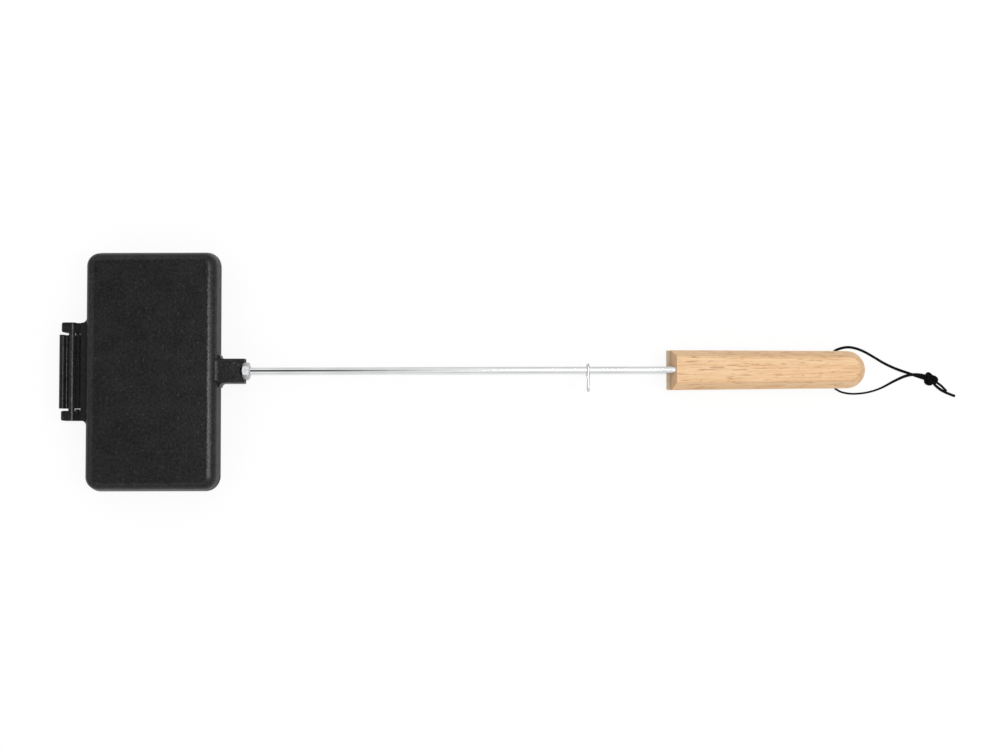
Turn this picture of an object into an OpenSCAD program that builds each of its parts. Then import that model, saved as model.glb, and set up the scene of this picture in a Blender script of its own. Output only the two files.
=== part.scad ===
// Pie iron: two hinged cast shells on long rods, with a split wooden handle.
// Origin: on the resting surface, in the middle of the length. +X towards the handle, +Z up.

/* [Overall] */
// Length from the lip of the hinge to the end of the handle
overall_len = 797.5; // [740:2.5:860]
// Space left between the upper and the lower half
half_gap = 0.3; // [0.2:0.05:0.5]

/* [Shells] */
// Size of the head across the rods
head_l = 237; // [220:1:250]
// Size of the head along the rods
head_w = 132.5; // [124:0.5:140]
// Depth of one shell
shell_h = 20.5; // [20:0.5:23]
// Wall of the casting
wall = 5; // [4.5:0.1:5.5]
// Corner radius of the rim
corner_r = 14.5; // [14:0.5:18]
// Inward lean of the side walls
draft = 3; // [2.5:0.1:3.5]
// Rounding between the side walls and the flat face
edge_r = 9; // [7:0.5:9.5]

/* [Hinge] */
// Radius of the cross bar
bar_r = 3.2; // [2.8:0.1:3.4]
// Height of the bar's axis above the rim
bar_rise = 4.8; // [4.6:0.1:5.4]
// Distance from the bar's axis out to the rim of the shells
bar_out = 14.4; // [14:0.1:16]
// Width of the hook
hook_w = 73; // [60:1:80]
// Thickness of each arm that carries the bar
arm_w = 9.8; // [8:0.2:12]
// Side clearance between the hook and the arms
hook_side_gap = 2.3; // [1.5:0.1:3]
// Thickness of the hook's plate
hook_t = 4.2; // [3.6:0.1:4.4]
// Clearance under the bar
hook_gap = 0.6; // [0.4:0.1:0.8]
// Height of the flange at the rim
flange_h = 4.2; // [3.5:0.1:4.5]
// Reach of the flange out from the rim
flange_out = 5.6; // [5.2:0.1:7]
// Radius of the fillets where the flange meets the shell
flare_r = 5; // [4:0.5:5]

/* [Socket] */
// Width of the rod socket
socket_w = 24; // [23.5:0.5:28]
// Height of the rod socket above the rim
socket_h = 16.3; // [16:0.1:17.5]
// Reach of the socket out from the rim
socket_out = 25.1; // [22:0.1:30]
// Rounding of the socket's long edges
socket_r = 3.4; // [2:0.2:4]
// Radius of the dished mouth at the end of the socket
mouth_r = 11.2; // [10.8:0.1:11.5]
// Depth of the dished mouth
mouth_d = 5.5; // [5.2:0.1:6]
// Fillet where the socket meets the shell
socket_fillet = 4; // [3:0.5:5]
// How much shorter the lower half's socket is
socket_short = 2.6; // [0:0.2:4]

/* [Rods] */
// Radius of a rod
rod_r = 3.5; // [3:0.1:3.7]
// Height of a rod's axis above the rim
rod_rise = 8.3; // [8.1:0.1:8.6]
// Radius of the rod's threaded end
thread_r = 4; // [3.8:0.1:4.1]
// Depth of the threaded end in the socket
thread_in = 22; // [16:1:26]
// Depth of a rod in the handle
rod_in = 55; // [45:1:90]

/* [Nuts] */
// Size across the flats
nut_af = 14.3; // [13:0.1:14.6]
// Thickness
nut_t = 7; // [6.5:0.1:9]
// How far the nut stands out of the socket
nut_out = 4.8; // [4.4:0.1:5]

/* [Handle] */
// Length of the upper wooden half
handle_len = 192.5; // [170:0.5:220]
// How much longer the lower half is at the rod end
handle_step = 4.2; // [0:0.2:5]
// Width at the rod end
handle_w = 39.5; // [38:0.5:44]
// Radius of the round end
handle_end_r = 18.4; // [17:0.2:20]
// Thickness of one half
handle_h = 15.5; // [15:0.1:17]
// How far the sloping sides come in from the base to the flat top
handle_edge = 6.6; // [5:0.2:8]
// Rounding of the edges between the sides and the flat top
handle_round = 2; // [1:0.5:3]
// Slant of the rod end's face
handle_slant = 4.8; // [3:0.2:8]
// Space between the two wooden halves
handle_gap = 0.6; // [0.4:0.1:1]

/* [Latch] */
// Radius of the wire
wire_r = 1.4; // [1.2:0.05:1.5]
// Clearance between the wire and the rods
wire_gap = 0.3; // [0.2:0.05:0.4]
// Distance of the latch from the end of the handle
latch_from_end = 274.8; // [240:0.2:320]
// Reach of the wire past the rods, to the middle of its finger loop
latch_reach = 17.3; // [15:0.1:22]
// Radius of the finger loop at the middle of the wire
finger_r = 3.1; // [2.8:0.1:3.4]

/* [Cord] */
// Radius of the cord
cord_r = 1.2; // [1:0.1:1.5]
// Radius of the hole through the lower half of the handle
cord_hole_r = 2; // [1.8:0.1:2.4]
// Distance of the hole from the end of the handle
cord_hole_in = 29; // [26:0.5:32]
// Drop of the hole below the rim
cord_hole_drop = 6; // [5:0.5:7]

/* [Hidden] */
$fn = 96;

fit = 0.05;                                   // radial play of the rods in their holes
rim_z = shell_h + half_gap / 2;               // middle of the gap between the rims
lip_reach = 12.1;                             // from the bar's axis out to the hook's lip
lip_out = bar_out + lip_reach;                // from the rim out to the hook's lip
head_x = -overall_len / 2 + lip_out + head_w / 2;
bar_x = head_x - head_w / 2 - bar_out;
rim_right = head_x + head_w / 2;
mouth_x = rim_right + socket_out;             // end face of the socket
handle_end = overall_len / 2;
handle_start = handle_end - handle_len;
latch_x = handle_end - latch_from_end;
hole_x = handle_end - cord_hole_in;
hole_z = rim_z - cord_hole_drop;
hinge_w = hook_w + 2 * hook_side_gap + 2 * arm_w;
ear_reach = 10;                               // from the bar's axis out to the end of an arm
bead_in = 1;                                  // bead on the flange, from the rim outwards

// Route of the cord's two strands, from the middle of the hole to the knot
route_a = [[0, 0, 0], [0, 8, 0], [0, 14, 0], [0.3, 18.4, -0.1], [2.4, 20, -0.6], [6, 21.4, -1.6],
           [11, 22.6, -3.1], [16, 23, -4.7], [21.5, 22.3, -6.5], [27, 20.8, -8.3], [32.5, 18.6, -10],
           [38, 15.8, -11.4], [44, 12.4, -12.6], [50, 8.8, -13.3], [56, 5.6, -13.45],
           [62, 2.8, -13.45], [68, 0.4, -13.45], [74, -1.7, -13.45], [80, -3.8, -13.3],
           [86, -6, -12.6], [91, -7.8, -11.8], [94.5, -8.9, -11.4]];
route_b = [[0, 0, 0], [0, -8, 0], [0, -14, 0], [0.4, -18, -0.1], [2.8, -19.8, -0.7], [7, -21.8, -1.9],
           [12.5, -23, -3.6], [18.5, -23.5, -5.6], [24.5, -23.3, -7.6], [30.5, -22.7, -9.5],
           [36.5, -21.6, -11.2], [42.5, -20, -12.5], [48.5, -17.8, -13.2], [54.5, -14.9, -13.45],
           [60.5, -11.6, -13.3], [66.5, -8.6, -12.6], [72.5, -6, -11.4], [78.5, -4.5, -10.6],
           [84.5, -4.2, -10.3], [90, -4.9, -10], [94.8, -6.2, -9.6]];
knot_at = [98.4, -8.8, -9.6];
tail_a = [[101.5, -13, -11.6], [104.5, -16, -12.3], [109, -19.4, -13.1], [113.2, -21.7, -13.45],
          [117.2, -23.5, -13.45], [121.2, -25.1, -13.45], [123.4, -25.7, -13.45]];
tail_b = [[102.6, -10.6, -11.2], [105.8, -12.9, -12.1], [109.2, -15.2, -12.9], [111.6, -17.1, -13.35],
          [113.6, -18.9, -13.45]];

function arc(c, r, from, to, steps = 8) =
    [for (i = [0 : steps]) c + r * [cos(from + (to - from) * i / steps), sin(from + (to - from) * i / steps)]];

// Section of a drafted wall with a rounded top edge, from a corner's axis outwards
module wall_section(r, h, lean, rounding) {
    a = atan(lean / h);
    cx = r - (rounding + (h - rounding) * sin(a)) / cos(a);
    intersection() {
        square([r, h]);
        union() {
            polygon([[0, 0], [r, 0], [cx + rounding * cos(a), h - rounding + rounding * sin(a)],
                     [cx, h - rounding], [cx, h], [0, h]]);
            translate([cx, h - rounding]) circle(rounding);
        }
    }
}

// Rectangular block with round corners, leaning sides and a rounded top edge
module pan_block(w, l, r, h, lean, rounding) {
    translate([-w / 2 + r, -l / 2 + r, 0]) cube([w - 2 * r, l - 2 * r, h]);
    for (s = [0, 1]) rotate([0, 0, 180 * s]) {
        translate([w / 2 - r, l / 2 - r, 0]) rotate([90, 0, 0])
            linear_extrude(l - 2 * r) wall_section(r, h, lean, rounding);
        translate([w / 2 - r, l / 2 - r, 0]) rotate([90, 0, 90]) mirror([0, 0, 1])
            linear_extrude(w - 2 * r) wall_section(r, h, lean, rounding);
        translate([w / 2 - r, l / 2 - r, 0])
            rotate_extrude(angle = 90) wall_section(r, h, lean, rounding);
        translate([-w / 2 + r, l / 2 - r, 0]) rotate([0, 0, 90])
            rotate_extrude(angle = 90) wall_section(r, h, lean, rounding);
    }
}

// Concave fillet in plan, filling the corner below and left of the point [0, 0]
module corner_fillet(r, back) {
    difference() {
        translate([-back, 0]) square([back + r, r]);
        translate([r, r]) circle(r);
    }
}

// Arch-shaped end view of the rod socket, standing on the rim
module socket_section() {
    polygon(concat([[socket_w / 2, 0]],
        arc([socket_w / 2 - socket_r, socket_h - socket_r], socket_r, 0, 90),
        arc([-socket_w / 2 + socket_r, socket_h - socket_r], socket_r, 90, 180),
        [[-socket_w / 2, 0]]));
}

module socket_body(short) {
    inner = 16;
    blend_r = 6;
    blend_w = socket_w - 2 * socket_r + 2;
    translate([rim_right - inner, 0, 0]) rotate([90, 0, 90])
        linear_extrude(inner + socket_out - short) socket_section();
    translate([rim_right - 0.8, blend_w / 2, socket_h]) rotate([90, 0, 0]) linear_extrude(blend_w)
        polygon(concat(arc([0, blend_r], blend_r, 270, 225, 4), [[-6, -1], [0, -1]]));
    for (s = [0, 1]) mirror([0, s, 0]) translate([rim_right, socket_w / 2, 0])
        linear_extrude(shell_h - edge_r - 2) corner_fillet(socket_fillet, 8);
}

// Tapped hole and dished mouth for one rod
module socket_hole(short) {
    translate([mouth_x - short, 0, rod_rise]) rotate([0, 90, 0]) {
        translate([0, 0, -thread_in - 1]) cylinder(r = thread_r + fit, h = thread_in + 2);
        translate([0, 0, -mouth_d]) cylinder(r1 = thread_r + 3, r2 = mouth_r, h = mouth_d);
        translate([0, 0, -fit]) cylinder(r = mouth_r, h = 2);
    }
}

// One cast half, rim down, with its cooking hollow and rod socket
module shell_half(short) {
    difference() {
        union() {
            translate([head_x, 0, 0]) pan_block(head_w, head_l, corner_r, shell_h, draft, edge_r);
            socket_body(short);
        }
        translate([head_x, 0, -0.01])
            pan_block(head_w - 2 * wall, head_l - 2 * wall, corner_r - wall,
                      shell_h - wall, draft * 0.8, edge_r - wall / 2);
        socket_hole(short);
    }
}

// Plan of the flange: as wide as the whole hinge, flared into the shell at both ends
module flange_plan(reach) {
    translate([bar_x + bar_out - reach, -hinge_w / 2]) square([reach + 3, hinge_w]);
    for (s = [0, 1]) mirror([0, s]) translate([bar_x + bar_out, hinge_w / 2])
        mirror([1, 0]) corner_fillet(min(flare_r, reach - 0.4), 3);
}

// Side view of an arm: out from the shell, then up round the end of the cross bar
module arm_section() {
    ear = ear_reach;
    deep = 9.5;
    eye_r = bar_r + 0.4;
    polygon(concat(
        [[bar_out + 3, 0], [eye_r, 0]],
        arc([0, bar_rise], eye_r, 0, 90),
        arc([-ear + 2.2, bar_rise + eye_r - 2.2], 2.2, 90, 180),
        arc([-ear + 5, -deep + 5], 5, 180, 270),
        [[bar_out + 4, -deep]]));
}

// Plan of an arm, its outer corners rounded
module arm_plan() {
    polygon(concat([[bar_out + 5, 0]], arc([-ear_reach + 2.4, -2.4], 2.4, 90, 180, 4),
        arc([-ear_reach + 2.4, -arm_w + 2.4], 2.4, 180, 270, 4), [[bar_out + 5, -arm_w]]));
}

module hinge_arms() {
    web = hook_side_gap - 0.4;                // web beside the hook, between the bar and the flange
    for (s = [0, 1]) mirror([0, s, 0]) translate([bar_x, hinge_w / 2, 0]) {
        intersection() {
            rotate([90, 0, 0]) linear_extrude(arm_w) arm_section();
            translate([0, 0, -20]) linear_extrude(40) arm_plan();
        }
        translate([bar_r - 1.4, -arm_w - web, -8.5])
            cube([bar_out - flange_out - bar_r - 1.7, web + 1, 6]);
    }
    translate([bar_x, -hinge_w / 2 + 1, bar_rise]) rotate([-90, 0, 0])
        cylinder(r = bar_r, h = hinge_w - 2);
    intersection() {
        translate([0, 0, -8]) linear_extrude(8) flange_plan(flange_out);
        for (s = [0, 1]) mirror([0, s, 0])
            translate([bar_x, hinge_w / 2 - arm_w, -9]) cube([bar_out + 5, arm_w + flare_r, 10]);
    }
}

// Side view of the hook: flange, dip under the bar, upturned lip
module hook_section() {
    top = bar_rise - bar_r - hook_gap;        // upper face of the plate under the bar
    low = top - hook_t;
    in = -7.1;
    out = -lip_reach;
    lip_top = bar_rise + bar_r - 0.2;
    polygon(concat(
        [[bar_out + 3, flange_h], [bar_out - flange_out, flange_h],
         [bar_out - flange_out - 2.6, top], [in + 1.5, top]],
        arc([in + 1.5, top + 1.5], 1.5, 270, 180),
        arc([in - 1.6, lip_top - 1.6], 1.6, 0, 90),
        arc([out + 2, lip_top - 2], 2, 90, 180),
        arc([out + 4.5, low + 4.5], 4.5, 180, 270),
        [[bar_out - flange_out - 1.2, low], [bar_out - 4, 0], [bar_out + 3, 0]]));
}

module hook_plate() {
    translate([bar_x, hook_w / 2, 0]) rotate([90, 0, 0]) linear_extrude(hook_w) hook_section();
    linear_extrude(flange_h) flange_plan(flange_out);
    translate([bar_x + bar_out - bead_in, hinge_w / 2 - 1, flange_h - 1]) rotate([90, 0, 0])
        linear_extrude(hinge_w - 2) polygon([[0, 0], [0, 1.6], [0.4, 2], [bead_in + 1, 2], [bead_in + 1, 0]]);
}

module lower_shell() color([0.13, 0.13, 0.14]) translate([0, 0, rim_z - half_gap / 2]) {
    mirror([0, 0, 1]) shell_half(socket_short);
    hinge_arms();
}

module upper_shell() color([0.15, 0.15, 0.16]) translate([0, 0, rim_z + half_gap / 2]) {
    shell_half(0);
    hook_plate();
}

// Steel rod with a thicker threaded end, pointing towards the handle
module rod(z, start, mouth) {
    stub = thread_in + nut_out - 1;
    length = start + rod_in - mouth + 4;
    translate([mouth - thread_in, 0, z]) rotate([0, 90, 0]) {
        cylinder(r1 = thread_r - 0.7, r2 = thread_r, h = 1);
        translate([0, 0, 1]) cylinder(r = thread_r, h = stub - 1.5);
        translate([0, 0, stub - 0.5]) cylinder(r1 = thread_r, r2 = rod_r, h = 0.5);
    }
    translate([mouth - 4, 0, z]) rotate([0, 90, 0]) {
        cylinder(r = rod_r, h = length - 1);
        translate([0, 0, length - 1]) cylinder(r1 = rod_r, r2 = rod_r - 1, h = 1);
    }
}

module lower_rod() color([0.78, 0.79, 0.8])
    rod(rim_z - half_gap / 2 - rod_rise, handle_start - handle_step, mouth_x - socket_short);

module upper_rod() color([0.78, 0.79, 0.8])
    rod(rim_z + half_gap / 2 + rod_rise, handle_start, mouth_x);

// Hexagon nut with chamfered corners, locked against the mouth of the socket
module nut(z, mouth) {
    corner = nut_af / sqrt(3);
    translate([mouth + nut_out - nut_t, 0, z]) rotate([0, 90, 0]) difference() {
        intersection() {
            rotate([0, 0, 90]) cylinder(r = corner, h = nut_t, $fn = 6);
            union() {
                cylinder(r1 = nut_af / 2 - 0.2, r2 = corner, h = 1);
                translate([0, 0, 1]) cylinder(r = corner, h = nut_t - 2);
                translate([0, 0, nut_t - 1]) cylinder(r1 = corner, r2 = nut_af / 2 - 0.2, h = 1);
            }
        }
        translate([0, 0, -1]) cylinder(r = thread_r + fit, h = nut_t + 2);
    }
}

module lower_nut() color([0.7, 0.71, 0.72])
    nut(rim_z - half_gap / 2 - rod_rise, mouth_x - socket_short);

module upper_nut() color([0.7, 0.71, 0.72]) nut(rim_z + half_gap / 2 + rod_rise, mouth_x);

// Round button with the handle's edge shape, the tool that the wooden half is swept with
module handle_button(r, h) {
    side = 1.5;                               // upright part of the side, at the base
    a = atan(handle_edge / (h - side));
    top_r = r - (handle_round + (h - handle_round - side) * sin(a)) / cos(a);
    rotate_extrude($fn = 64) polygon(concat(
        [[0, 0], [r - 0.5, 0], [r, 0.5], [r, side]],
        arc([top_r, h - handle_round], handle_round, a, 90, 5),
        [[0, h]]));
}

// One wooden half, flat side down
module handle_half(start) {
    side_r = 12;
    h = handle_h - handle_gap / 2;
    difference() {
        hull() {
            translate([handle_end - handle_end_r, 0, 0]) handle_button(handle_end_r, h);
            for (s = [-1, 1])
                translate([start + 2, s * (handle_w / 2 - side_r), 0]) handle_button(side_r, h);
        }
        translate([0, handle_w, 0]) rotate([90, 0, 0]) linear_extrude(2 * handle_w)
            polygon([[start - 20, -1], [start - handle_slant / h, -1],
                     [start + handle_slant * (h + 1) / h, h + 1], [start - 20, h + 1]]);
        translate([start - 5, 0, rod_rise + half_gap / 2 - handle_gap / 2]) rotate([0, 90, 0])
            cylinder(r = rod_r + fit, h = rod_in + 6);
    }
}

module lower_handle() color([0.86, 0.7, 0.5]) difference() {
    translate([0, 0, rim_z - handle_gap / 2]) mirror([0, 0, 1])
        handle_half(handle_start - handle_step);
    translate([hole_x, handle_w, hole_z]) rotate([90, 0, 0])
        cylinder(r = cord_hole_r, h = 2 * handle_w);
}

module upper_handle() color([0.86, 0.7, 0.5])
    translate([0, 0, rim_z + handle_gap / 2]) handle_half(handle_start);

// Bent wire: an eye round the lower rod, a leg up beside the rods, an arm over the upper rod
// and a finger loop at the end of the arm
module latch_hook() color([0.75, 0.76, 0.77])
    translate([latch_x, 0, rim_z - half_gap / 2 - rod_rise]) rotate([90, 0, 90]) {
        eye_r = rod_r + wire_gap + wire_r;
        top = 2 * rod_rise + half_gap + eye_r;
        bend = 3;
        mirror([0, 1, 0]) rotate_extrude(angle = 290)
            translate([eye_r, 0]) circle(wire_r, $fn = 32);
        translate([eye_r, 0, 0]) rotate([-90, 0, 0]) cylinder(r = wire_r, h = top - bend, $fn = 32);
        translate([eye_r - bend, top - bend, 0]) rotate_extrude(angle = 90)
            translate([bend, 0]) circle(wire_r, $fn = 32);
        translate([-latch_reach, top, 0]) rotate([0, 90, 0])
            cylinder(r = wire_r, h = latch_reach + eye_r - bend, $fn = 32);
        translate([-latch_reach, top - finger_r, 0]) rotate([0, 0, 90]) rotate_extrude(angle = 250)
            translate([finger_r, 0]) circle(wire_r, $fn = 32);
    }

// Tube swept along a route by rings that stand square to it
function unit(v) = v / norm(v);
function heading(p, i) = unit(p[min(i + 1, len(p) - 1)] - p[max(i - 1, 0)]);
function ring(p, i, r, sides) = let (t = heading(p, i), u = unit(cross([0, 0, 1], t)), w = cross(t, u))
    [for (k = [0 : sides - 1]) p[i] + r * (cos(360 * k / sides) * u + sin(360 * k / sides) * w)];

module cord_tube(route) {
    sides = 8;
    n = len(route);
    translate([hole_x, 0, hole_z]) polyhedron(
        points = [for (i = [0 : n - 1]) each ring(route, i, cord_r, sides)],
        faces = concat(
            [[for (k = [0 : sides - 1]) k]],
            [for (i = [0 : n - 2], k = [0 : sides - 1]) let (a = i * sides + k,
                b = i * sides + (k + 1) % sides) [a, a + sides, b + sides]],
            [for (i = [0 : n - 2], k = [0 : sides - 1]) let (a = i * sides + k,
                b = i * sides + (k + 1) % sides) [a, b + sides, b]],
            [[for (k = [0 : sides - 1]) n * sides - 1 - k]]));
}

module cord_strand_a() color([0.08, 0.08, 0.08]) cord_tube(route_a);

module cord_strand_b() color([0.08, 0.08, 0.08]) cord_tube(route_b);

module cord_tail_a() color([0.08, 0.08, 0.08]) cord_tube(tail_a);

module cord_tail_b() color([0.08, 0.08, 0.08]) cord_tube(tail_b);

// Overhand knot drawn tight: turns of cord round a core, flat where it lies
module cord_knot() color([0.08, 0.08, 0.08]) intersection() {
    translate([hole_x, 0, hole_z] + knot_at) {
        sphere(r = 4.3);
        for (turn = [[5.3, 22, 8, 0], [4.7, 60, 10, -38], [4.3, -50, 25, 20]])
            rotate([turn[1], turn[2], turn[3]]) rotate_extrude() translate([turn[0], 0])
                circle(cord_r + 0.2, $fn = 24);
    }
    translate([hole_x, -60, 0]) cube([200, 120, 60]);
}

lower_shell();
upper_shell();
lower_rod();
upper_rod();
lower_nut();
upper_nut();
lower_handle();
upper_handle();
latch_hook();
cord_strand_a();
cord_strand_b();
cord_knot();
cord_tail_a();
cord_tail_b();
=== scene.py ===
import math

import bmesh
import bpy
import numpy as np
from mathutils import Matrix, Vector


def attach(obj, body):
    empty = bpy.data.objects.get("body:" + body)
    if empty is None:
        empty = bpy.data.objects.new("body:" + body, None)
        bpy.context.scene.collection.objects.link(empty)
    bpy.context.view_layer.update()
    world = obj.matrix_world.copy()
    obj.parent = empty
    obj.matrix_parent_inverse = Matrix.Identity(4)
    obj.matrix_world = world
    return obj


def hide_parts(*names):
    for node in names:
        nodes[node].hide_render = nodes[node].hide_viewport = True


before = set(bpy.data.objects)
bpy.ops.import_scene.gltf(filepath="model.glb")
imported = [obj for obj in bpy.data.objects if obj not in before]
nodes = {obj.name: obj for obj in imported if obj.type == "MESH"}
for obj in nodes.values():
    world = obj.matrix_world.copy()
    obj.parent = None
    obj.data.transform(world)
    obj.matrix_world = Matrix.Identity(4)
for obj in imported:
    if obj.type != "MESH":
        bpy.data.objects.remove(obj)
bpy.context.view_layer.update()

# ---------------------------------------------------------------------------
# The camera. It looks almost straight down on the iron from 1.74 m, a little
# from the near side, with the hinge at the left and the handle at the right.
CAMERA_DISTANCE = 1.74
CAMERA_ELEVATION = math.radians(87.2)
CAMERA_ROLL = math.radians(-0.16)
CAMERA_TARGET = Vector((0.0370, -0.0043, 0.0207))
WIDTH_SEEN = 0.992                       # metres across the picture at the target

camera_data = bpy.data.cameras.new("camera")
camera_data.sensor_width = 36.0
camera_data.lens = camera_data.sensor_width * CAMERA_DISTANCE / WIDTH_SEEN
camera_data.clip_start = 0.05
camera_data.clip_end = 20.0
camera = bpy.data.objects.new("camera", camera_data)
towards_camera = Vector((0.0, -math.cos(CAMERA_ELEVATION), math.sin(CAMERA_ELEVATION)))
camera.location = CAMERA_TARGET + CAMERA_DISTANCE * towards_camera
camera.rotation_mode = "ZYX"
camera.rotation_euler = (math.pi / 2 - CAMERA_ELEVATION, 0.0, CAMERA_ROLL)
bpy.context.scene.collection.objects.link(camera)
bpy.context.scene.camera = camera

# ---------------------------------------------------------------------------
# The hanging cord. One length of black braided cord, 2.4 mm thick, goes through
# the cross hole in the lower half of the handle. Its two strands droop to the
# surface and run together into one knot, from which the two ends stick out.
MM = 0.001
CORD_R = 1.2 * MM
CORD_HIGH = 0.98 * CORD_R                # half height of the cord where it lies
BRAID_STEP = 0.35 * MM                   # between two rings of the mesh
BRAID_SIDES = 18
BRAID_PITCH = 7.5 * MM                   # one turn of a yarn round the cord
BRAID_CARRIERS = 8                       # yarns in the braid
BRAID_RELIEF = 0.085                     # depth between yarns, as a share of the radius
CUT_END_RINGS = 3                        # rings over which a cut end narrows
CUT_END_SIZE = 0.8
FRAYED_RINGS = 8                         # rings over which a tail opens
ROLL_FROM, ROLL_SHARE = 0.55, 0.25       # where the flat cord turns over, as shares of its length
HOLE = Vector((369.75, 0.0, 14.65)) * MM  # middle of the cross hole
ROUTE_A = [
    (0, 0, 0), (0, 8, 0), (0, 14, 0), (0.3, 18.4, -0.1), (2.4, 20, -0.6), (6, 21.4, -1.6),
    (11, 22.6, -3.1), (16, 23, -4.7), (21.5, 22.3, -6.5), (27, 20.8, -8.3), (32.5, 18.6, -10),
    (38, 15.8, -11.4), (44, 12.4, -12.6), (50, 8.8, -13.3), (56, 5.6, -13.45),
    (62, 2.8, -13.45), (68, 0.4, -13.45), (74, -1.7, -13.45), (80, -3.8, -13.3),
    (86, -6, -12.6), (91, -7.8, -11.8), (94.5, -8.9, -11.4),
]
ROUTE_B = [
    (0, 0, 0), (0, -8, 0), (0, -14, 0), (0.4, -18, -0.1), (2.8, -19.8, -0.7), (7, -21.8, -1.9),
    (12.5, -23, -3.6), (18.5, -23.5, -5.6), (24.5, -23.3, -7.6), (30.5, -22.7, -9.5),
    (36.5, -21.6, -11.2), (42.5, -20, -12.5), (48.5, -17.8, -13.2), (54.5, -14.9, -13.45),
    (60.5, -11.6, -13.3), (66.5, -8.6, -12.6), (72.5, -6, -11.4), (78.5, -4.5, -10.6),
    (84.5, -4.2, -10.3), (90, -4.9, -10), (94.8, -6.2, -9.6),
]
TAIL_A = [
    (101.5, -13, -11.6), (104.5, -16, -12.3), (109, -19.4, -13.1), (113.2, -21.7, -13.45),
    (117.2, -23.5, -13.45), (121.2, -25.1, -13.45), (123.4, -25.7, -13.45),
]
TAIL_B = [
    (102.2, -11.2, -11.2), (105.8, -12.8, -12.1), (109.6, -15.5, -12.9), (112.4, -18.3, -13.35),
    (114.8, -20.8, -13.45),
]


def in_place(points):
    """Route points, counted in millimetres from the middle of the hole, as places in metres."""
    return [HOLE + Vector(p) * MM for p in points]


def smooth_path(points, step):
    """A curve through the points, sampled every step along its length."""
    p = np.array([tuple(q) for q in points])
    p = np.vstack([2 * p[0] - p[1], p, 2 * p[-1] - p[-2]])
    samples = []
    for a, b, c, d in zip(p[:-3], p[1:-2], p[2:-1], p[3:]):
        for t in np.linspace(0, 1, 24, endpoint=False):
            samples.append(0.5 * ((2 * b) + (c - a) * t + (2 * a - 5 * b + 4 * c - d) * t**2
                                  + (3 * b - a - 3 * c + d) * t**3))
    samples.append(p[-2])
    samples = np.array(samples)
    along = np.concatenate([[0], np.cumsum(np.linalg.norm(np.diff(samples, axis=0), axis=1))])
    count = max(4, int(round(along[-1] / step)) + 1)
    even = np.linspace(0, along[-1], count)
    return np.column_stack([np.interp(even, along, samples[:, k]) for k in range(3)])


def mesh_piece(name, verts, faces, smooth=True):
    """A mesh object from vertices and faces, linked into the scene."""
    mesh = bpy.data.meshes.new(name)
    mesh.from_pydata([tuple(v) for v in verts], [], faces)
    mesh.update()
    bm = bmesh.new()
    bm.from_mesh(mesh)
    bmesh.ops.recalc_face_normals(bm, faces=bm.faces)
    bm.to_mesh(mesh)
    bm.free()
    mesh.polygons.foreach_set("use_smooth", [smooth] * len(mesh.polygons))
    piece = bpy.data.objects.new(name, mesh)
    bpy.context.scene.collection.objects.link(piece)
    return piece


def braid_height(turn, along):
    """Height of the braid's strands, 0 to 1, at an angle round the cord and a length along it."""
    lead = 2 * math.pi * along / BRAID_PITCH
    right = math.cos(BRAID_CARRIERS / 2 * (turn - lead))
    left = math.cos(BRAID_CARRIERS / 2 * (turn + lead))
    over = 0.5 + 0.5 * math.sin(BRAID_CARRIERS * lead)
    return max(over * right, (1 - over) * left)


def braided_tube(name, path, wide, high, flare=0.0):
    """A braided cord swept along the path, with closed ends; flare opens its last rings a little.

    The cord is a little flat and turns over on its way: wide holds its half width, level with
    the ground, at the start and at the end, and high is its half height."""
    count = len(path)
    tangents = np.gradient(path, axis=0)
    tangents /= np.linalg.norm(tangents, axis=1)[:, None]
    side = np.cross([0, 0, 1.0], tangents[0])
    side /= np.linalg.norm(side)
    verts = []
    for i, (centre, t) in enumerate(zip(path, tangents)):
        side = side - t * np.dot(side, t)
        side /= np.linalg.norm(side)
        up = np.cross(t, side)
        along = i * BRAID_STEP
        from_end = min(i, count - 1 - i)
        shrink = CUT_END_SIZE + (1 - CUT_END_SIZE) * min(1.0, from_end / CUT_END_RINGS)
        spread = 1 + flare * max(0.0, 1 - (count - 1 - i) / FRAYED_RINGS)
        turned = min(1.0, max(0.0, (i / count - ROLL_FROM) / ROLL_SHARE))
        width = wide[0] + (wide[1] - wide[0]) * turned
        for k in range(BRAID_SIDES):
            turn = 2 * math.pi * k / BRAID_SIDES
            r = shrink * spread * (1 - BRAID_RELIEF * (1 - braid_height(turn, along)))
            verts.append(centre + r * (width * math.cos(turn) * side + high * math.sin(turn) * up))
    faces = [
        (i * BRAID_SIDES + k, i * BRAID_SIDES + (k + 1) % BRAID_SIDES,
         (i + 1) * BRAID_SIDES + (k + 1) % BRAID_SIDES, (i + 1) * BRAID_SIDES + k)
        for i in range(count - 1) for k in range(BRAID_SIDES)
    ]
    for first, centre in ((0, path[0]), ((count - 1) * BRAID_SIDES, path[-1])):
        hub = len(verts)
        verts.append(centre)
        faces += [(hub, first + k, first + (k + 1) % BRAID_SIDES) for k in range(BRAID_SIDES)]
    return mesh_piece(name, verts, faces)


def new_material(name):
    """An empty node material with its Principled shader linked to the output."""
    material = bpy.data.materials.new(name)
    material.use_nodes = True
    tree = material.node_tree
    tree.nodes.clear()
    output = tree.nodes.new("ShaderNodeOutputMaterial")
    shader = tree.nodes.new("ShaderNodeBsdfPrincipled")
    tree.links.new(shader.outputs["BSDF"], output.inputs["Surface"])
    return material, tree, shader


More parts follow.
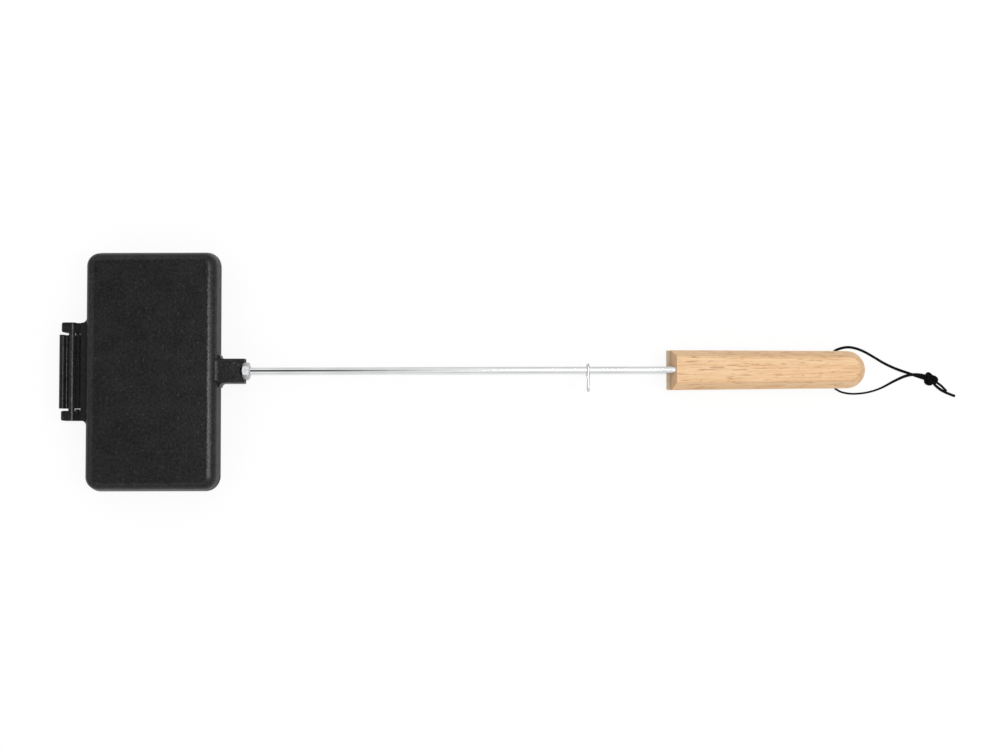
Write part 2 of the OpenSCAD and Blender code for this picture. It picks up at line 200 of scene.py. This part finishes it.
def add_node(tree, kind, settings=None, **inputs):
    """A node with its settings and inputs set: i0, i1 and so on name an input by its number,
    other words by its name, and an input given as a socket is linked."""
    node = tree.nodes.new(kind)
    for key, value in (settings or {}).items():
        setattr(node, key, value)
    for key, value in inputs.items():
        socket = node.inputs[int(key[1:]) if key[1:].isdigit() else key.replace("_", " ")]
        if isinstance(value, bpy.types.NodeSocket):
            tree.links.new(value, socket)
        else:
            socket.default_value = value
    return node


def ramp(tree, value, stops):
    """A colour ramp; stops are (place, colour) pairs, where a plain number means a grey."""
    node = add_node(tree, "ShaderNodeValToRGB", i0=value)
    elements = node.color_ramp.elements
    while len(elements) < len(stops):
        elements.new(0.5)
    for element, (place, colour) in zip(elements, stops):
        grey = isinstance(colour, (int, float))
        element.position = place
        element.color = (colour, colour, colour, 1) if grey else (*colour, 1)
    return node.outputs["Color"]


cord_black, tree, shader = new_material("cord_black")
place = add_node(tree, "ShaderNodeTexCoord").outputs["Object"]
fibre = add_node(tree, "ShaderNodeTexNoise", i0=place, Scale=5200.0, Detail=3.0, Roughness=0.6)
patch = add_node(tree, "ShaderNodeTexNoise", i0=place, Scale=260.0, Detail=2.0)
shade = add_node(tree, "ShaderNodeMath", {"operation": "MULTIPLY"},
                 i0=fibre.outputs["Fac"], i1=patch.outputs["Fac"])
dyed = ramp(tree, shade.outputs[0], [(0.12, 0.0003), (0.42, 0.002)])
tree.links.new(dyed, shader.inputs["Base Color"])
shader.inputs["Roughness"].default_value = 0.7
shader.inputs["Specular IOR Level"].default_value = 0.1
bump = add_node(tree, "ShaderNodeBump", Strength=0.35, Distance=0.0002, Height=fibre.outputs["Fac"])
tree.links.new(bump.outputs["Normal"], shader.inputs["Normal"])

cord_pieces = {}
for name, route, wide, flare in (
    ("strand_a", ROUTE_A, (1.42 * MM, 1.6 * MM), 0.0),
    ("strand_b", ROUTE_B, (1.02 * MM, 1.6 * MM), 0.0),
    ("tail_a", TAIL_A, (1.5 * MM, 1.4 * MM), 0.1),
    ("tail_b", TAIL_B, (1.25 * MM, 1.25 * MM), 0.1),
):
    path = smooth_path(in_place(route), BRAID_STEP)
    piece = braided_tube("cord_" + name + "_braid", path, wide, CORD_HIGH, flare)
    piece.data.materials.append(cord_black)
    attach(piece, "lower_half")
    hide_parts("cord_" + name)
    cord_pieces[name] = piece

# The knot: both strands laid side by side, tied in one overhand knot and pulled
# tight. Each strand follows the same three-lobed turn, one outside the other, and
# the core is the part of the two that passes through the middle.
KNOT_CENTRE = HOLE + Vector((97.9, -9.0, -9.3)) * MM
KNOT_CORE = [(93.5, -6.9, -9.9), (97.9, -9.0, -8.6), (101.9, -11.7, -11.0)]
KNOT_LOBE = 1.55 * MM
KNOT_HEIGHT = 2.1 * MM
KNOT_HEADING = math.radians(-38)
KNOT_STRETCH = (1.12, 0.96)              # along and across the heading
KNOT_FROM, KNOT_TO = math.radians(25), math.radians(335)
KNOT_POINTS = 30
OUTER_OFFSET, INNER_OFFSET = 1.4 * MM, -1.0 * MM
KNOT_STRAND_WIDE = 1.45 * MM
KNOT_CORE_WIDE = 2.5 * MM
KNOT_HIGH = 1.3 * MM


def knot_turn(offset):
    """Points of one strand round the overhand turn, offset sideways from the knot's middle line."""
    points = []
    c, s = math.cos(KNOT_HEADING), math.sin(KNOT_HEADING)
    for i in range(KNOT_POINTS):
        t = KNOT_FROM + (KNOT_TO - KNOT_FROM) * i / (KNOT_POINTS - 1)
        lobe = (math.sin(t) + 2 * math.sin(2 * t), math.cos(t) - 2 * math.cos(2 * t), 0)
        out = Vector(lobe) * KNOT_LOBE
        out = out + out.normalized() * offset
        ahead, aside = out.x * KNOT_STRETCH[0], out.y * KNOT_STRETCH[1]
        points.append(KNOT_CENTRE + Vector((c * ahead - s * aside, s * ahead + c * aside,
                                            -math.sin(3 * t) * KNOT_HEIGHT)))
    return points


knot_pieces = []
for side, turn, wide in (
    ("outer", knot_turn(OUTER_OFFSET), KNOT_STRAND_WIDE),
    ("inner", knot_turn(INNER_OFFSET), KNOT_STRAND_WIDE),
    ("core", in_place(KNOT_CORE), KNOT_CORE_WIDE),
):
    path = smooth_path(turn, BRAID_STEP)
    piece = braided_tube("cord_knot_" + side, path, (wide, wide), KNOT_HIGH)
    piece.data.materials.append(cord_black)
    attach(piece, "lower_half")
    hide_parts("cord_knot")
    knot_pieces.append(piece)


def path_length(route):
    """Length of the cord along its route, in metres."""
    points = smooth_path(in_place(route), BRAID_STEP)
    return float(np.linalg.norm(np.diff(points, axis=0), axis=1).sum())


for name, route, pieces in (
    ("strand_a", ROUTE_A, knot_pieces + [cord_pieces["tail_a"], cord_pieces["tail_b"]]),
    ("strand_b", ROUTE_B, knot_pieces),
):
    round(path_length(route), 4)

# ---------------------------------------------------------------------------
# The two shells. Each is one sand-cast piece of iron, hinge and rod socket
# included, blackened and oiled, with the fine grain of the sand in its skin.


def grain_group():
    """Cast skin: sand grain, larger unevenness and small pits, as a height and a mottled mask."""
    group = bpy.data.node_groups.new("cast_grain", "ShaderNodeTree")
    for name, value in (("Grain Scale", 360.0), ("Pit Scale", 260.0), ("Pit Depth", 0.6)):
        socket = group.interface.new_socket(name, in_out="INPUT", socket_type="NodeSocketFloat")
        socket.default_value = value
    for name in ("Height", "Patches"):
        group.interface.new_socket(name, in_out="OUTPUT", socket_type="NodeSocketFloat")
    given = group.nodes.new("NodeGroupInput").outputs
    result = group.nodes.new("NodeGroupOutput").inputs
    place = add_node(group, "ShaderNodeTexCoord").outputs["Object"]
    grain = add_node(group, "ShaderNodeTexNoise", i0=place, Scale=given["Grain Scale"],
                     Detail=3.0, Roughness=0.6)
    waves = add_node(group, "ShaderNodeTexNoise", i0=place, Scale=55.0, Detail=3.0, Roughness=0.5)
    cells = add_node(group, "ShaderNodeTexVoronoi", {"feature": "F1"}, i0=place,
                     Scale=given["Pit Scale"], Randomness=1.0)
    pit = add_node(group, "ShaderNodeMapRange", {"clamp": True}, Value=cells.outputs["Distance"],
                   From_Min=0.10, From_Max=0.30, To_Min=1.0, To_Max=0.0)
    rare = add_node(group, "ShaderNodeSeparateColor", i0=cells.outputs["Color"])
    chosen = add_node(group, "ShaderNodeMath", {"operation": "GREATER_THAN"},
                      i0=rare.outputs[0], i1=0.72)
    pits = add_node(group, "ShaderNodeMath", {"operation": "MULTIPLY"},
                    i0=pit.outputs[0], i1=chosen.outputs[0])
    sunk = add_node(group, "ShaderNodeMath", {"operation": "MULTIPLY"},
                    i0=pits.outputs[0], i1=given["Pit Depth"])
    both = add_node(group, "ShaderNodeMath", {"operation": "MULTIPLY_ADD"},
                    i0=waves.outputs["Fac"], i1=1.2, i2=grain.outputs["Fac"])
    height = add_node(group, "ShaderNodeMath", {"operation": "SUBTRACT"},
                      i0=both.outputs[0], i1=sunk.outputs[0])
    group.links.new(height.outputs[0], result["Height"])
    spots = add_node(group, "ShaderNodeMath", {"operation": "MULTIPLY"},
                     i0=grain.outputs["Fac"], i1=0.7)
    mottle = add_node(group, "ShaderNodeMath", {"operation": "MULTIPLY_ADD"},
                      i0=waves.outputs["Fac"], i1=0.3, i2=spots.outputs[0])
    group.links.new(mottle.outputs[0], result["Patches"])
    return group


cast_grain = grain_group()
cast_iron, tree, shader = new_material("cast_iron")
skin = add_node(tree, "ShaderNodeGroup", {"node_tree": cast_grain})
mottled = ramp(tree, skin.outputs["Patches"],
               [(0.38, (0.0005, 0.0005, 0.0005)), (0.62, (0.014, 0.014, 0.0142))])
dull = add_node(tree, "ShaderNodeMapRange", Value=skin.outputs["Patches"],
                From_Min=0.38, From_Max=0.62, To_Min=0.31, To_Max=0.25)
# The steep walls keep more of the rough casting skin, so they are duller, with a weaker gloss; the
# grey added to their colour is painted light that makes them lighter.
seat = add_node(tree, "ShaderNodeTexCoord")
facing = add_node(tree, "ShaderNodeSeparateXYZ", i0=seat.outputs["Normal"])
steep = add_node(tree, "ShaderNodeMath", {"operation": "ABSOLUTE"}, i0=facing.outputs[2])
walls = add_node(tree, "ShaderNodeMapRange", Value=steep.outputs[0],
                 From_Min=0.85, From_Max=0.35, To_Min=0.0, To_Max=1.0)
rough = add_node(tree, "ShaderNodeMath", {"operation": "MULTIPLY_ADD"},
                 i0=walls.outputs[0], i1=0.15, i2=dull.outputs[0])
tree.links.new(rough.outputs[0], shader.inputs["Roughness"])
# painted light: a grey added to the colour of the steep walls lightens them
walls_painted_light = add_node(tree, "ShaderNodeMix", {"data_type": "RGBA", "blend_type": "ADD"},
                  i0=walls.outputs[0], i6=mottled, i7=(0.012, 0.012, 0.0122, 1))
tree.links.new(walls_painted_light.outputs[2], shader.inputs["Base Color"])
gloss = add_node(tree, "ShaderNodeMapRange", Value=walls.outputs[0],
                 From_Min=0.0, From_Max=1.0, To_Min=0.28, To_Max=0.13)
tree.links.new(gloss.outputs[0], shader.inputs["Specular IOR Level"])
bump = add_node(tree, "ShaderNodeBump", Strength=0.4, Distance=0.0005,
                Height=skin.outputs["Height"])
tree.links.new(bump.outputs["Normal"], shader.inputs["Normal"])


def dress(name, material):
    """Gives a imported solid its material."""
    mesh = nodes[name].data
    mesh.materials.clear()
    mesh.materials.append(material)


for name in ("lower_shell", "upper_shell"):
    dress(name, cast_iron)

# ---------------------------------------------------------------------------
# The rods. Bright drawn steel, 7 mm thick, polished along their length, each
# screwed into its socket and pushed into its half of the handle.
rod_steel, tree, shader = new_material("rod_steel")
place = add_node(tree, "ShaderNodeTexCoord").outputs["Object"]
drawn = add_node(tree, "ShaderNodeMapping", i0=place, Scale=(6.0, 1400.0, 1400.0))
streaks = add_node(tree, "ShaderNodeTexNoise", i0=drawn.outputs[0], Scale=1.0, Detail=3.0)
clouds = add_node(tree, "ShaderNodeTexNoise", i0=place, Scale=38.0, Detail=3.0)
bright = ramp(tree, clouds.outputs["Fac"], [(0.3, (0.70, 0.705, 0.71)), (0.7, (0.78, 0.785, 0.79))])
tree.links.new(bright, shader.inputs["Base Color"])
shader.inputs["Metallic"].default_value = 1.0
sheen = add_node(tree, "ShaderNodeMapRange", Value=streaks.outputs["Fac"],
                 From_Min=0.3, From_Max=0.7, To_Min=0.05, To_Max=0.1)
tree.links.new(sheen.outputs[0], shader.inputs["Roughness"])
bump = add_node(tree, "ShaderNodeBump", Strength=0.12, Distance=0.0001,
                Height=streaks.outputs["Fac"])
tree.links.new(bump.outputs["Normal"], shader.inputs["Normal"])
for name in ("lower_rod", "upper_rod"):
    dress(name, rod_steel)

# ---------------------------------------------------------------------------
# The lock nuts. Hexagon nuts with bright zinc plating, tightened against the
# dished mouths of the sockets.
nut_zinc, tree, shader = new_material("nut_zinc")
place = add_node(tree, "ShaderNodeTexCoord").outputs["Object"]
frost = add_node(tree, "ShaderNodeTexNoise", i0=place, Scale=700.0, Detail=4.0)
zinc = ramp(tree, frost.outputs["Fac"], [(0.35, (0.54, 0.545, 0.55)), (0.65, (0.78, 0.785, 0.79))])
tree.links.new(zinc, shader.inputs["Base Color"])
shader.inputs["Metallic"].default_value = 1.0
shader.inputs["Roughness"].default_value = 0.75
bump = add_node(tree, "ShaderNodeBump", Strength=0.3, Distance=0.0001, Height=frost.outputs["Fac"])
tree.links.new(bump.outputs["Normal"], shader.inputs["Normal"])
for name in ("lower_nut", "upper_nut"):
    dress(name, nut_zinc)

# ---------------------------------------------------------------------------
# The handle. Two halves of light, close-grained hardwood, sanded and oiled,
# with the grain running along the handle and short dark pores in it.
PORE_BROWN = (0.36, 0.17, 0.07, 1)
END_GRAIN_BROWN = (0.50, 0.31, 0.17, 1)
# painted shade: the grey-brown given to the faces where the halves meet
SPLIT_SHADE_GREY = (0.30, 0.24, 0.16, 1)
SPLIT_Z, SAWN_BAND = 0.02065, 0.00045    # the level where the halves meet, and how near it counts
handle_wood, tree, shader = new_material("handle_wood")
seat = add_node(tree, "ShaderNodeTexCoord")
place = seat.outputs["Object"]


def grain_noise(stretch, detail, distortion=0.0):
    """Noise drawn out along the handle."""
    drawn_out = add_node(tree, "ShaderNodeMapping", i0=place, Scale=stretch)
    return add_node(tree, "ShaderNodeTexNoise", i0=drawn_out.outputs[0], Scale=1.0,
                    Detail=detail, Roughness=0.6, Distortion=distortion).outputs["Fac"]


bands = grain_noise((6.0, 200.0, 160.0), 3.0, 0.3)
streaks = grain_noise((32.0, 1000.0, 1000.0), 3.0)
dashes = grain_noise((80.0, 900.0, 900.0), 1.0, 0.6)
fine = add_node(tree, "ShaderNodeMath", {"operation": "MULTIPLY_ADD"}, i0=streaks, i1=0.6, i2=-0.05)
tone = add_node(tree, "ShaderNodeMath", {"operation": "MULTIPLY_ADD"},
                i0=bands, i1=0.5, i2=fine.outputs[0])
plank = ramp(tree, tone.outputs[0], [(0.26, (0.43, 0.205, 0.07)), (0.42, (0.585, 0.35, 0.165)),
                                     (0.54, (0.65, 0.425, 0.23)), (0.72, (0.70, 0.50, 0.31))])
pores = add_node(tree, "ShaderNodeMapRange", Value=dashes, From_Min=0.58, From_Max=0.67,
                 To_Min=0.0, To_Max=0.75)
flecked = add_node(tree, "ShaderNodeMix", {"data_type": "RGBA"}, i0=pores.outputs[0], i6=plank,
                   i7=PORE_BROWN)
facing = add_node(tree, "ShaderNodeSeparateXYZ", i0=seat.outputs["Normal"])
across = add_node(tree, "ShaderNodeMath", {"operation": "MULTIPLY"}, i0=facing.outputs[0], i1=-1.0)
end_grain = add_node(tree, "ShaderNodeMapRange", Value=across.outputs[0], From_Min=0.7, From_Max=0.95,
                     To_Min=0.0, To_Max=0.75)
cut = add_node(tree, "ShaderNodeMix", {"data_type": "RGBA"}, i0=end_grain.outputs[0],
               i6=flecked.outputs[2], i7=END_GRAIN_BROWN)
# Painted shade: the faces where the two halves meet are given a darker grey-brown, standing in for
# the shade in the gap between the halves.
level = add_node(tree, "ShaderNodeSeparateXYZ", i0=place)
near_split = add_node(tree, "ShaderNodeMath", {"operation": "COMPARE"},
                      i0=level.outputs[2], i1=SPLIT_Z, i2=SAWN_BAND)
flat = add_node(tree, "ShaderNodeMath", {"operation": "MULTIPLY"},
                i0=facing.outputs[2], i1=facing.outputs[2])
sawn = add_node(tree, "ShaderNodeMath", {"operation": "MULTIPLY"},
                i0=near_split.outputs[0], i1=flat.outputs[0])
split_shade = add_node(tree, "ShaderNodeMath", {"operation": "MULTIPLY"}, i0=sawn.outputs[0], i1=0.75)
halves = add_node(tree, "ShaderNodeMix", {"data_type": "RGBA"}, i0=split_shade.outputs[0],
                  i6=cut.outputs[2], i7=SPLIT_SHADE_GREY)
tree.links.new(halves.outputs[2], shader.inputs["Base Color"])
shader.inputs["Roughness"].default_value = 0.5
bump = add_node(tree, "ShaderNodeBump", Strength=0.2, Distance=0.0002, Height=streaks)
tree.links.new(bump.outputs["Normal"], shader.inputs["Normal"])
for name in ("lower_handle", "upper_handle"):
    dress(name, handle_wood)

# ---------------------------------------------------------------------------
# The latch. One bright wire, bent to an eye round the lower rod, a leg that
# hooks over the upper rod and a small finger loop.
latch_wire, tree, shader = new_material("latch_wire")
place = add_node(tree, "ShaderNodeTexCoord").outputs["Object"]
haze = add_node(tree, "ShaderNodeTexNoise", i0=place, Scale=420.0, Detail=3.0)
wire = ramp(tree, haze.outputs["Fac"], [(0.3, (0.56, 0.565, 0.57)), (0.7, (0.68, 0.685, 0.69))])
tree.links.new(wire, shader.inputs["Base Color"])
shader.inputs["Metallic"].default_value = 1.0
shader.inputs["Roughness"].default_value = 0.24
dress("latch_hook", latch_wire)

# ---------------------------------------------------------------------------
# The studio: a white floor that keeps the soft shadow, a pale tent of light and
# two soft lamps, one overhead and one from the right.
FLOOR_Z = -0.0003
FLOOR_REACH = 14.0
SHADOW_SHARE = 0.13                      # of the floor's white that the shadow can take away
floor_corners = [(x * FLOOR_REACH, y * FLOOR_REACH, FLOOR_Z)
                 for x, y in ((-1, -1), (1, -1), (1, 1), (-1, 1))]
floor = mesh_piece("floor", floor_corners, [(0, 1, 2, 3)], smooth=False)
floor_white, tree, shader = new_material("floor_white")
shader.inputs["Base Color"].default_value = (0.86, 0.86, 0.86, 1)
shader.inputs["Roughness"].default_value = 0.9
shader.inputs["Specular IOR Level"].default_value = 0.0
output = tree.nodes["Material Output"]
glow = add_node(tree, "ShaderNodeEmission", Color=(1, 1, 1, 1), Strength=1.0)
seen = add_node(tree, "ShaderNodeLightPath")
mirrored = add_node(tree, "ShaderNodeMath", {"operation": "MAXIMUM"},
                    i0=seen.outputs["Is Camera Ray"], i1=seen.outputs["Is Glossy Ray"])
straight = add_node(tree, "ShaderNodeMath", {"operation": "MAXIMUM"},
                    i0=mirrored.outputs[0], i1=seen.outputs["Is Transmission Ray"])
share = add_node(tree, "ShaderNodeMath", {"operation": "MULTIPLY"},
                 i0=straight.outputs[0], i1=1 - SHADOW_SHARE)
mix = add_node(tree, "ShaderNodeMixShader",
               i0=share.outputs[0], i1=shader.outputs["BSDF"], i2=glow.outputs[0])
tree.links.new(mix.outputs[0], output.inputs["Surface"])
floor.data.materials.append(floor_white)

# A dark slot runs across the ceiling over the hinge; the rest of the tent is white and
# fades towards the ground.
SLOT_X = -0.21                           # the slot's middle, as x of the direction towards it
SLOT_DARKNESS = 0.93                     # share of the light that the slot takes away
GROUND_LIGHT = 0.15                      # light of the tent where it meets the ground
TENT_LIGHT = 1.06                        # light of the white tent
world = bpy.data.worlds.new("studio")
bpy.context.scene.world = world
world.use_nodes = True
tree = world.node_tree
sky = tree.nodes["Background"]
looking = add_node(tree, "ShaderNodeTexCoord").outputs["Generated"]
towards = add_node(tree, "ShaderNodeSeparateXYZ", i0=looking)


def faded(value, inner, outer):
    """1 while the value stays under inner, falling softly to 0 at outer."""
    size = add_node(tree, "ShaderNodeMath", {"operation": "ABSOLUTE"}, i0=value)
    return add_node(tree, "ShaderNodeMapRange", {"interpolation_type": "SMOOTHSTEP"},
                    Value=size.outputs[0], From_Min=inner, From_Max=outer,
                    To_Min=1.0, To_Max=0.0).outputs[0]


from_slot = add_node(tree, "ShaderNodeMath", {"operation": "SUBTRACT"},
                     i0=towards.outputs[0], i1=SLOT_X)
slot = add_node(tree, "ShaderNodeMath", {"operation": "MULTIPLY"},
                i0=faded(from_slot.outputs[0], 0.10, 0.20), i1=faded(towards.outputs[1], 0.36, 0.58))
ceiling = add_node(tree, "ShaderNodeMath", {"operation": "MULTIPLY_ADD"},
                   i0=slot.outputs[0], i1=-SLOT_DARKNESS, i2=1.0)
low = add_node(tree, "ShaderNodeMapRange", Value=towards.outputs[2], From_Min=0.0, From_Max=0.38,
               To_Min=GROUND_LIGHT, To_Max=1.0)
tent = add_node(tree, "ShaderNodeMath", {"operation": "MULTIPLY"},
                i0=ceiling.outputs[0], i1=low.outputs[0])
tree.links.new(tent.outputs[0], sky.inputs["Color"])
sky.inputs["Strength"].default_value = TENT_LIGHT


def soft_lamp(name, place, aim, size, power):
    """A square lamp that points at aim; size in metres, power in watts."""
    data = bpy.data.lights.new(name, "AREA")
    data.shape = "SQUARE"
    data.size = size
    data.energy = power
    lamp = bpy.data.objects.new(name, data)
    lamp.location = place
    lamp.rotation_euler = (Vector(aim) - Vector(place)).to_track_quat("-Z", "Y").to_euler()
    bpy.context.scene.collection.objects.link(lamp)


HEAD_MIDDLE = (-0.2, 0, 0)
soft_lamp("lamp_over", (0.22, 0.05, 2.1), HEAD_MIDDLE, 0.3, 9.5)
soft_lamp("lamp_right", (0.85, -0.15, 1.7), HEAD_MIDDLE, 0.4, 6.0)

bpy.context.scene.view_settings.view_transform = "Standard"
